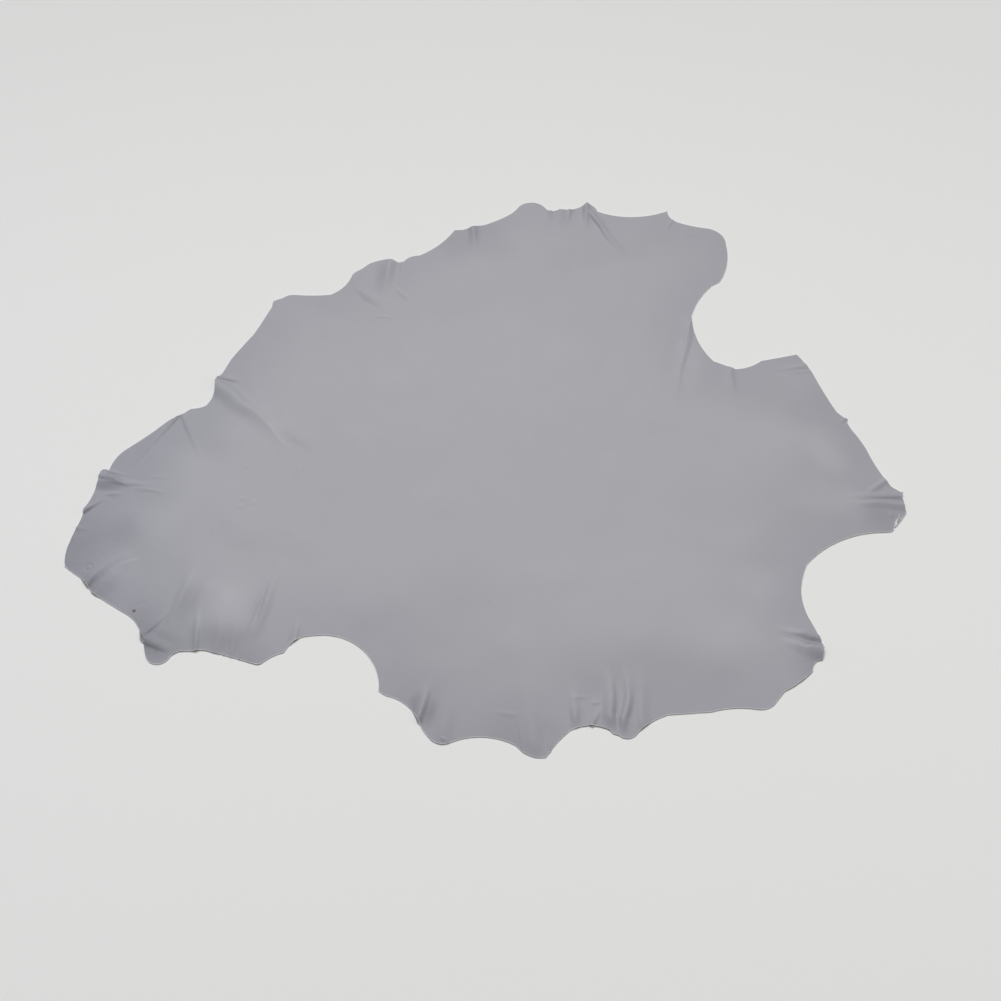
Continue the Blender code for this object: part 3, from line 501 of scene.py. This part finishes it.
class HideStage(bpy.types.PropertyGroup):
    """The floor, the lights and the camera."""

    floor_colour: FloatVectorProperty(
        name="Floor", description="Colour of the floor", subtype="COLOR", size=4,
        default=(0.80, 0.80, 0.79, 1.0))
    floor_size: FloatProperty(
        name="Floor size", description="Side of the floor", unit="LENGTH", default=30.0)
    floor_gap: FloatProperty(
        name="Floor gap", description="Gap that keeps the floor clear of the hide",
        unit="LENGTH", default=0.0003)
    elevation: FloatProperty(
        name="Camera elevation", description="Angle of the view over the floor",
        subtype="ANGLE", unit="ROTATION", default=math.radians(57.0))
    distance: FloatProperty(
        name="Camera distance", description="From the camera to the aim", unit="LENGTH",
        default=1.92774)
    aim: FloatVectorProperty(
        name="Aim", description="Point of the floor in the middle of the picture",
        subtype="XYZ", unit="LENGTH", default=(0.01391, -0.09573, 0.0))
    lens: FloatProperty(
        name="Lens", description="Focal length", unit="CAMERA", default=50.0)
    key_strength: FloatProperty(
        name="Key", description="Strength of the soft key light from behind", default=2.1)
    key_softness: FloatProperty(
        name="Key softness", description="Angle that the key light covers in the sky",
        subtype="ANGLE", unit="ROTATION", default=math.radians(16.0))
    top_power: FloatProperty(
        name="Top", description="Power of the soft light overhead", unit="POWER", default=6.0)
    side_power: FloatProperty(
        name="Sides", description="Power of each of the two side lights", unit="POWER",
        default=5.0)
    sky: FloatProperty(
        name="Sky", description="Strength of the even light from all around", default=0.2)


class Pattern(NamedTuple):
    """How the places in the tables lie on the hide."""

    middle: np.ndarray        # of the outline, in the tables' cm
    unit: float               # metres that one cm of the tables stands for

    def to_metres(self, points):
        """Places on the hide, in metres, of points in the tables."""
        return (np.array(points) - self.middle) * self.unit

    def to_table(self, points):
        """Places in the tables, in cm, of points on the hide."""
        return points / self.unit + self.middle


def arc(start, end, bow, sag):
    """Points of the stretch from start up to, but not with, end."""
    if bow == 0.0:
        return [start]
    run = np.subtract(end, start)
    chord = math.hypot(*run)
    along = run / chord
    out = np.array((-along[1], along[0]))
    radius = (chord * chord / 4 + bow * bow) / (2 * abs(bow))
    half = math.asin(min(1.0, chord / 2 / radius))
    if abs(bow) > chord / 2:
        half = math.pi - half
    step = 2 * math.acos(1 - min(sag / radius, 1.0))
    count = max(2, math.ceil(2 * half / step))
    points = []
    for i in range(count):
        turn = half * (2 * i / count - 1)
        forward = chord / 2 + radius * math.sin(turn)
        rise = math.copysign(radius * (math.cos(turn) - math.cos(half)), bow)
        points.append(tuple(start + along * forward + out * rise))
    return points


def edge_points(sag):
    """The whole edge of the hide in the tables' cm, clockwise."""
    points = []
    for (_, x, y, bow), (_, next_x, next_y, _) in zip(OUTLINE, OUTLINE[1:] + OUTLINE[:1]):
        points += arc((x, y), (next_x, next_y), bow, sag)
    return np.array(points)


def fit_pattern(outline, length):
    """The pattern that makes the outline as long as the hide, around its middle."""
    low, high = outline.min(axis=0), outline.max(axis=0)
    return Pattern((low + high) / 2, length / (high[0] - low[0]))


def flat_area(outline):
    """Area of the cut skin in the tables' square cm."""
    x, y = outline.T
    return abs(np.dot(x, np.roll(y, 1)) - np.dot(y, np.roll(x, 1))) / 2


def hump(offset):
    """A smooth ridge section: 1 on the spine, 0 and level at a foot 1 away."""
    inside = np.clip(np.abs(offset), 0.0, 1.0)
    return (1.0 - inside * inside) ** 3


def ramp(share):
    """Smooth step from 0 to 1."""
    share = np.clip(share, 0.0, 1.0)
    return share * share * (3.0 - 2.0 * share)


def spine_place(x, y, x0, y0, x1, y1, bow):
    """Share of the way along a spine, distance to its left, and its length, in cm."""
    run = np.array((x1 - x0, y1 - y0))
    length = math.hypot(*run)
    along = run / length
    share = ((x - x0) * along[0] + (y - y0) * along[1]) / length
    held = np.clip(share, 0.0, 1.0)
    left = (y - y0) * along[0] - (x - x0) * along[1] - 4 * bow * held * (1 - held)
    return share, left, length


def fold_width(share, left, fold):
    """Distance from a fold's spine to its foot, on the side where a point lies."""
    width_0, width_1, lean = fold[6:9]
    width = width_0 + (width_1 - width_0) * np.clip(share, 0.0, 1.0)
    return width * np.where(left > 0, 1 + lean, 1 - lean)


def fold_height(x, y, fold):
    """How far one fold lifts the points x, y, in mm."""
    share, left, length = spine_place(x, y, *fold[1:6])
    width = fold_width(share, left, fold)
    height, fades = fold[9:]
    if fades == "both":
        strength = hump(2 * share - 1)
    else:
        strength = (1 - ramp(share)) * hump(np.minimum(share, 0.0) * length / RUN_IN)
    return height * strength * hump(left / width)


def waves(x, y, rows, shift=0.0):
    """Sum of slow waves at the points x, y."""
    return sum(
        swing * np.sin(turns_x * x + turns_y * y + start + shift)
        for swing, turns_x, turns_y, start in rows)


def wander(x, y):
    """The points as the wandering folds see them."""
    return x + waves(x, y, WANDER), y + waves(y, x, WANDER, WANDER_TURN)


def lift(x, y, shape):
    """Height of the underside over the surface, in metres, at the points x, y."""
    along, across = wander(x, y)
    folds = sum(fold_height(along, across, fold) for fold in FOLDS)
    wrinkles = sum(fold_height(x, y, fold) for fold in WRINKLES)
    swell = np.maximum(0.0, waves(x, y, UNEVEN) - UNEVEN_FLOOR)
    swell = UNEVEN_HEIGHT * swell * swell / (swell + UNEVEN_ROUND)
    return (folds * shape.fold_gain + wrinkles * shape.wrinkle_gain + swell) * MM


def dents(x, y):
    """Depth of the lines in the grain, in metres, at the points x, y."""
    depth = np.zeros_like(x)
    for dent in DENTS:
        share, left, _ = spine_place(x, y, *dent[1:6])
        width, deep = dent[6:]
        depth += deep * hump(2 * share - 1) * hump(left / width)
    ring_x, ring_y, radius, width, deep = RING_MARK
    off_ring = np.hypot(x - ring_x, y - ring_y) - radius
    return (depth + deep * hump(off_ring / width)) * MM


def cell_wanted(x, y, shape, unit):
    """The widest cell, in metres, that still shows what is at the points x, y."""
    wanted = np.full(x.shape, np.inf)

    def narrow(inside, width):
        np.minimum(wanted, np.where(inside, width * unit, np.inf), out=wanted)

    for folds, place in ((FOLDS, wander(x, y)), (WRINKLES, (x, y))):
        for fold in folds:
            share, left, length = spine_place(*place, *fold[1:6])
            width = fold_width(share, left, fold)
            reach = -RUN_IN / length if fold[-1] == "end" else 0.0
            inside = (np.abs(left) < width * FOLD_MARGIN) & (share > reach) & (share < 1.0)
            narrow(inside, np.maximum(width / shape.cells_per_flank, shape.fold_cell / unit))
    for dent in DENTS:
        share, left, _ = spine_place(x, y, *dent[1:6])
        width = dent[6]
        inside = (np.abs(left) < width * MARK_MARGIN) & (np.abs(share - 0.5) < DENT_MARGIN)
        narrow(inside, width / shape.cells_per_flank)
    ring_x, ring_y, radius, width, _ = RING_MARK
    inside = np.hypot(x - ring_x, y - ring_y) < radius + width * MARK_MARGIN
    narrow(inside, width / shape.cells_per_flank)
    hole_x, hole_y, radius = HOLE
    narrow(np.hypot(x - hole_x, y - hole_y) < radius * HOLE_MARGIN, radius)
    return wanted


def places(verts):
    """Coordinates of a list of vertices as an array."""
    return np.array([vert.co[:] for vert in verts])


def cut_into_cells(sheet, cell):
    """Cuts the flat sheet along lines in X and in Y, so that it can bend."""
    for axis, normal in enumerate(((1, 0, 0), (0, 1, 0))):
        across = places(sheet.verts)[:, axis]
        low, high = across.min(), across.max()
        for line in range(math.ceil(low / cell), math.floor(high / cell) + 1):
            point = [0.0, 0.0, 0.0]
            point[axis] = line * cell
            geometry = sheet.verts[:] + sheet.edges[:] + sheet.faces[:]
            bmesh.ops.bisect_plane(
                sheet, geom=geometry, dist=CUT_TOLERANCE, plane_co=point, plane_no=normal)


def halve_cells(sheet, cell, shape, pattern):
    """Halves the cells that are too wide for the folds on them."""
    centres = np.array([face.calc_center_median()[:2] for face in sheet.faces])
    x, y = pattern.to_table(centres).T
    too_wide = cell_wanted(x, y, shape, pattern.unit) < cell
    wide_faces = {face for face, wide in zip(sheet.faces, too_wide) if wide}
    edges = [
        edge for edge in sheet.edges
        if edge.calc_length() > cell * SHORT_EDGE and not wide_faces.isdisjoint(edge.link_faces)]
    bmesh.ops.subdivide_edges(sheet, edges=edges, cuts=1, use_grid_fill=True)


def punch_hole(sheet, pattern):
    """Opens the small hole at the vertex that lies nearest to it."""
    centre = Vector((*pattern.to_metres(HOLE[:2]), 0.0))
    radius = HOLE[2] * pattern.unit
    nearest = min(sheet.verts, key=lambda vert: (vert.co - centre).length)
    nearest.co = centre
    made = bmesh.ops.bevel(
        sheet, geom=[nearest], offset=radius, offset_type="OFFSET", segments=2, profile=0.5,
        affect="VERTICES", material=-1)
    bmesh.ops.delete(sheet, geom=made["faces"], context="FACES")
    for vert in made["verts"]:
        if vert.is_valid and vert.link_faces:
            vert.co = centre + (vert.co - centre).normalized() * radius


def split_spans(sheet):
    """Gives every cell edge that runs from rim to rim a middle vertex, off the rim."""
    spans = [
        edge for edge in sheet.edges
        if not edge.is_boundary and all(vert.is_boundary for vert in edge.verts)]
    bmesh.ops.subdivide_edges(sheet, edges=spans, cuts=1)


def note_margin(sheet):
    """Notes on every vertex of the flat sheet how far it lies from the cut."""
    margin = sheet.verts.layers.float.new("margin")
    rim = [vert for vert in sheet.verts if vert.is_boundary]
    tree = KDTree(len(rim))
    for i, vert in enumerate(rim):
        tree.insert(vert.co, i)
    tree.balance()
    for vert in sheet.verts:
        *_, distance = tree.find(vert.co)
        vert[margin] = distance


def build_skin(outline, pattern, shape):
    """The sheet of the hide: flat outline, cells, folds, thickness."""
    sheet = bmesh.new()
    edge = [sheet.verts.new((*point, 0.0)) for point in pattern.to_metres(outline)]
    sheet.faces.new(reversed(edge))
    cut_into_cells(sheet, shape.cell)
    bmesh.ops.remove_doubles(sheet, verts=sheet.verts[:], dist=shape.cell * MERGE_SHARE)
    cell = shape.cell
    for _ in range(shape.halvings):
        halve_cells(sheet, cell * WHOLE_CELL, shape, pattern)
        cell /= 2
    punch_hole(sheet, pattern)
    wide = [face for face in sheet.faces if len(face.verts) > 4]
    bmesh.ops.triangulate(sheet, faces=wide, quad_method="BEAUTY", ngon_method="BEAUTY")
    split_spans(sheet)
    note_margin(sheet)
    give_wall(sheet, shape, pattern)
    return sheet


def give_wall(sheet, shape, pattern):
    """Raises the folds and gives the flat sheet its thickness."""
    made = bmesh.ops.extrude_face_region(sheet, geom=sheet.faces[:], use_keep_orig=True)
    top = {item for item in made["geom"] if isinstance(item, bmesh.types.BMVert)}
    low = [vert for vert in sheet.verts if vert not in top]
    high = [vert for vert in sheet.verts if vert in top]
    for face in sheet.faces:
        upper = sum(vert in top for vert in face.verts)
        if upper == 0:
            face.material_index = FLESH_SIDE
        elif upper == len(face.verts):
            face.material_index = GRAIN_SIDE
        else:
            face.material_index = CUT_EDGE
        face.smooth = True
    place_layer(low, shape, pattern, 0.0)
    place_layer(high, shape, pattern, shape.thickness)
    for edge in sheet.edges:
        sides = {face.material_index for face in edge.link_faces}
        edge.smooth = len(sides) == 1
    bmesh.ops.recalc_face_normals(sheet, faces=sheet.faces[:])


def place_layer(verts, shape, pattern, rise):
    """Moves one layer of vertices onto the folds, rise metres off the underside."""
    flat = places(verts)
    x, y = pattern.to_table(flat[:, :2]).T
    height = lift(x, y, shape)
    run = SLOPE_STEP * pattern.unit
    slope_x = (lift(x + SLOPE_STEP, y, shape) - height) / run
    slope_y = (lift(x, y + SLOPE_STEP, shape) - height) / run
    normal = np.stack((-slope_x, -slope_y, np.ones_like(x)), axis=1)
    normal /= np.linalg.norm(normal, axis=1, keepdims=True)
    flat[:, 2] = height
    placed = flat + normal * rise
    if rise:
        placed[:, 2] -= dents(x, y)
    for vert, point in zip(verts, placed):
        vert.co = point


class Link:
    """A shader socket that Python's arithmetic turns into Math nodes."""

    def __init__(self, finish, socket):
        self.finish = finish
        self.socket = socket

    def maths(self, operation, first, second):
        """One Math node on two values or links."""
        return self.finish.add("ShaderNodeMath", {"operation": operation}, {0: first, 1: second})

    def __add__(self, other):
        return self.maths("ADD", self, other)

    def __sub__(self, other):
        return self.maths("SUBTRACT", self, other)

    def __mul__(self, other):
        return self.maths("MULTIPLY", self, other)

    def __radd__(self, other):
        return self.maths("ADD", other, self)

    def __rsub__(self, other):
        return self.maths("SUBTRACT", other, self)

    def __rmul__(self, other):
        return self.maths("MULTIPLY", other, self)


class Finish:
    """A material in the making, with its shader and the nodes that feed it."""

    def __init__(self, name):
        self.material = bpy.data.materials.new(name)
        self.material.use_nodes = True
        self.tree = self.material.node_tree
        self.shader = self.tree.nodes["Principled BSDF"]
        self.place = self.add("ShaderNodeTexCoord", output="Object")

    def add(self, kind, settings=None, sockets=None, output=0):
        """Adds one node: its type, its settings, and values or links for its sockets."""
        node = self.tree.nodes.new(kind)
        for name, value in (settings or {}).items():
            setattr(node, name, value)
        for name, value in (sockets or {}).items():
            self.feed(node.inputs[name], value)
        return Link(self, node.outputs[output])

    def feed(self, socket, value):
        """Links or sets one socket."""
        if isinstance(value, Link):
            self.tree.links.new(value.socket, socket)
        else:
            socket.default_value = value

    def set(self, **values):
        """Feeds the shader's sockets; an underscore stands for a space."""
        for name, value in values.items():
            self.feed(self.shader.inputs[name.replace("_", " ")], value)

    def noise(self, size, detail, output=0):
        """Soft noise whose blobs are about size metres across."""
        sockets = {"Vector": self.place, "Scale": 1.0 / size, "Detail": detail}
        return self.add("ShaderNodeTexNoise", None, sockets, output)

    def drift(self, size, swing):
        """The place, moved about by soft noise, so that what it places looks uneven."""
        level = {0: self.noise(size, 2.0, "Color"), 1: (0.5, 0.5, 0.5)}
        push = self.add("ShaderNodeVectorMath", {"operation": "SUBTRACT"}, level)
        sockets = {0: push, 1: (swing, swing, 0.0), 2: self.place}
        return self.add("ShaderNodeVectorMath", {"operation": "MULTIPLY_ADD"}, sockets)

    def spot(self, place, pattern, x, y, along, across, turn):
        """A soft oval spot of the tables: 1 in its centre, 0 from its reach on."""
        sockets = {
            "Vector": place, "Location": (*pattern.to_metres((x, y)), 0.0),
            "Rotation": (0.0, 0.0, math.radians(turn)),
            "Scale": (along * pattern.unit, across * pattern.unit, 1.0)}
        own = self.add("ShaderNodeMapping", {"vector_type": "TEXTURE"}, sockets)
        kind = {"gradient_type": "SPHERICAL"}
        cone = self.add("ShaderNodeTexGradient", kind, {"Vector": own}, "Fac")
        return self.band(cone, 0.0, 1.0)

    def band(self, value, low, high):
        """A smooth step of a value from 0 at low to 1 at high."""
        sockets = {"Value": value, "From Min": low, "From Max": high}
        return self.add("ShaderNodeMapRange", {"interpolation_type": "SMOOTHSTEP"}, sockets)

    def blend(self, factor, first, second):
        """A colour between two colours, which are the node's sockets 6, 7 and, out, 2."""
        sockets = {"Factor": factor, 6: first, 7: second}
        return self.add("ShaderNodeMix", {"data_type": "RGBA"}, sockets, 2)

    def shaded(self, colour, factor):
        """A colour times a factor."""
        sockets = {0: colour if isinstance(colour, Link) else colour[:3], "Scale": factor}
        return self.add("ShaderNodeVectorMath", {"operation": "SCALE"}, sockets)

    def stained(self, colour, look, pattern):
        """A colour with the stain around the small hole on it."""
        cone = self.spot(self.place, pattern, *HOLE[:2], STAIN_REACH, STAIN_REACH, 0.0)
        return self.blend(self.band(cone, 0.0, STAIN_CORE), colour, tuple(look.stain_colour))

    def relief(self, height_mm):
        """A bump of a height in mm."""
        return self.add("ShaderNodeBump", None, {"Distance": MM, "Height": height_mm}, "Normal")


def grain_finish(look, pattern):
    """Smooth matte grain with pores, a little mottling, looser margins with painted shade
    towards the cut, patches of painted shade and light, and a painted highlight along the cut.
    """
    finish = Finish("leather_grain")
    margin = finish.add("ShaderNodeAttribute", {"attribute_name": "margin"}, output="Fac")
    along_hide = finish.add("ShaderNodeSeparateXYZ", None, {0: finish.place}, output="X")
    neck = finish.band(along_hide, *NECK_SPAN)
    # Painted shade: the grain darkens and cools towards the cut, and the same band loosens its
    # relief
    rim = 1.0 - finish.band(margin, 0.0, RIM_SHADE_AND_LOOSENESS_REACH)
    cloud = finish.noise(size=0.16, detail=2.0)
    patch = finish.noise(size=0.022, detail=3.0)
    speck = finish.noise(size=0.0022, detail=2.0)
    wide = finish.drift(size=0.05, swing=0.035)
    narrow = finish.drift(size=0.02, swing=0.008)
    # Painted shade on fold flanks, painted highlights along crests and painted fall-off of the
    # light, summed with some of the skin's own tone
    shade = 0.0
    for _, x, y, along, across, turn, tone in PAINTED_LIGHT_AND_TONE_PATCHES:
        place = narrow if min(along, across) < NARROW_REACH else wide
        shade = finish.spot(place, pattern, x, y, along, across, turn) * tone + shade
    # The share of each layer in the blue, the tone, the gloss and the relief; the margin and the
    # patches paint shade and light into the blue and the tone
    cool = neck * 0.6 + rim * 0.35 - shade * 1.5
    colour = finish.blend(cool, tuple(look.grain_colour), tuple(look.cool_tint_and_shade_colour))
    tone = 0.955 + cloud * 0.07 + patch * 0.03 + speck * 0.03 - rim * 0.07 + shade
    colour = finish.shaded(colour, tone)
    # Painted highlight: the last half millimetre of the grain blends to the pale edge colour
    lip = 1.0 - finish.band(margin, look.lip * 0.5, look.lip)
    colour = finish.blend(lip * 0.8, colour, tuple(look.edge_and_highlight_colour))
    finish.set(Base_Color=finish.stained(colour, look, pattern))
    finish.set(Roughness=look.roughness - 0.06 + patch * 0.08 + speck * 0.06)
    finish.set(Specular_IOR_Level=0.35)
    pores = finish.add(
        "ShaderNodeTexVoronoi", {"feature": "SMOOTH_F1"},
        {"Vector": finish.place, "Scale": 1.0 / look.pore, "Smoothness": 0.6})
    loose = finish.noise(size=0.009, detail=3.0)
    slack = (neck * 0.8 + rim * 0.6) * 0.22 + 0.03
    finish.set(Normal=finish.relief(pores * 0.05 + speck * 0.03 + loose * slack))
    return finish.material


def flesh_finish(look):
    """Suede-like flesh side: dull, fibrous, with a brushed nap."""
    finish = Finish("leather_flesh")
    nap = finish.noise(size=0.05, detail=3.0)
    fibre = finish.noise(size=0.0012, detail=3.0)
    tone = 0.86 + nap * 0.18 + fibre * 0.12
    finish.set(Base_Color=finish.shaded(tuple(look.flesh_colour), tone))
    finish.set(Roughness=0.9 + fibre * 0.08, Specular_IOR_Level=0.2, Sheen_Weight=0.25)
    finish.set(Normal=finish.relief(fibre * 0.12 + nap * 0.4))
    return finish.material


def edge_finish(look, pattern):
    """The raw cut through the skin: its own paler colour raised into a painted highlight, with
    its fibres showing.
    """
    finish = Finish("leather_cut_edge")
    fibre = finish.noise(size=0.0006, detail=2.0)
    colour = finish.shaded(tuple(look.edge_and_highlight_colour), 0.88 + fibre * 0.24)
    finish.set(Base_Color=finish.stained(colour, look, pattern))
    finish.set(Roughness=0.9, Specular_IOR_Level=0.2)
    finish.set(Normal=finish.relief(fibre * 0.1))
    return finish.material


def floor_finish(stage):
    """Plain pale matte floor."""
    finish = Finish("pale_floor")
    finish.set(Base_Color=tuple(stage.floor_colour), Roughness=0.85, Specular_IOR_Level=0.2)
    return finish.material


def put_in_scene(name, sheet, materials):
    """Makes an object of a finished bmesh, at the origin."""
    mesh = bpy.data.meshes.new(name)
    sheet.to_mesh(mesh)
    sheet.free()
    for material in materials:
        mesh.materials.append(material)
    piece = bpy.data.objects.new(name, mesh)
    bpy.context.scene.collection.objects.link(piece)
    return piece


def hang_light(name, kind, place, aim, strength):
    """A light that faces a point."""
    light = bpy.data.lights.new(name, kind)
    light.energy = strength
    lamp = bpy.data.objects.new(name, light)
    lamp.location = place
    lamp.rotation_euler = (Vector(aim) - Vector(place)).to_track_quat("-Z", "Y").to_euler()
    bpy.context.scene.collection.objects.link(lamp)
    return light


def light_stage(stage):
    """The soft lights and the even sky."""
    key = hang_light("key", "SUN", KEY_PLACE, MIDDLE, stage.key_strength)
    key.angle = stage.key_softness
    top = hang_light("top", "AREA", TOP_PLACE, TOP_AIM, stage.top_power)
    top.size = LIGHT_SIZE
    for name, (place, colour) in SIDE_LIGHTS.items():
        side = hang_light(name, "AREA", place, MIDDLE, stage.side_power)
        side.size = LIGHT_SIZE
        side.color = colour
    sky = bpy.data.worlds.new("sky")
    sky.use_nodes = True
    glow = sky.node_tree.nodes["Background"]
    glow.inputs["Color"].default_value = (1.0, 1.0, 1.0, 1.0)
    glow.inputs["Strength"].default_value = stage.sky
    bpy.context.scene.world = sky


def place_camera(stage):
    """The camera, which stands in front of the hide and looks down on it."""
    lens = bpy.data.cameras.new("camera")
    lens.lens = stage.lens
    lens.sensor_width = SENSOR_WIDTH
    camera = bpy.data.objects.new("camera", lens)
    back = Vector((0.0, -math.cos(stage.elevation), math.sin(stage.elevation)))
    camera.location = Vector(stage.aim) + back * stage.distance
    camera.rotation_euler = (math.pi / 2 - stage.elevation, 0.0, 0.0)
    bpy.context.scene.collection.objects.link(camera)
    bpy.context.scene.camera = camera


class HIDE_OT_lay_out(bpy.types.Operator):
    """Lays out the hide: its sheet with folds, wrinkles and marks, in its finishes"""

    bl_idname = "hide.lay_out"
    bl_label = "Lay out the hide"

    def execute(self, context):
        shape = context.scene.hide_shape
        look = context.scene.hide_finish
        outline = edge_points(shape.arc_sag * CM_PER_M)
        pattern = fit_pattern(outline, shape.length)
        finishes = [
            grain_finish(look, pattern), flesh_finish(look), edge_finish(look, pattern)]
        skin = put_in_scene(SKIN, build_skin(outline, pattern, shape), finishes)
        area = flat_area(outline) * pattern.unit ** 2
        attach(skin, "root")
        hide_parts(SOLID)
        return {"FINISHED"}


class HIDE_OT_set_stage(bpy.types.Operator):
    """Sets the floor, the soft lights and the camera"""

    bl_idname = "hide.set_stage"
    bl_label = "Set the stage"

    def execute(self, context):
        stage = context.scene.hide_stage
        sheet = bmesh.new()
        bmesh.ops.create_grid(sheet, x_segments=1, y_segments=1, size=stage.floor_size / 2)
        bmesh.ops.translate(sheet, verts=sheet.verts[:], vec=(0.0, 0.0, -stage.floor_gap))
        floor = put_in_scene("floor", sheet, [floor_finish(stage)])
        light_stage(stage)
        place_camera(stage)
        context.scene.view_settings.view_transform = "Standard"
        return {"FINISHED"}


class HIDE_PT_panel(bpy.types.Panel):
    """Lists the hide's sizes, finishes and stage"""

    bl_idname = "HIDE_PT_panel"
    bl_label = "Hide"
    bl_space_type = "VIEW_3D"
    bl_region_type = "UI"
    bl_category = "Hide"

    def draw(self, context):
        scene = context.scene
        for group in (scene.hide_shape, scene.hide_finish, scene.hide_stage):
            box = self.layout.box()
            box.label(text=group.__doc__)
            for name in group.__annotations__:
                box.prop(group, name)
        self.layout.operator(HIDE_OT_lay_out.bl_idname)
        self.layout.operator(HIDE_OT_set_stage.bl_idname)


GROUPS = {"hide_shape": HideShape, "hide_finish": HideFinish, "hide_stage": HideStage}
CLASSES = (*GROUPS.values(), HIDE_OT_lay_out, HIDE_OT_set_stage, HIDE_PT_panel)


def register():
    for cls in CLASSES:
        bpy.utils.register_class(cls)
    for name, group in GROUPS.items():
        setattr(bpy.types.Scene, name, PointerProperty(type=group))


def unregister():
    for name in GROUPS:
        delattr(bpy.types.Scene, name)
    for cls in reversed(CLASSES):
        bpy.utils.unregister_class(cls)


def main():
    register()
    bpy.ops.hide.lay_out()
    bpy.ops.hide.set_stage()


if __name__ == "__main__":
    main()
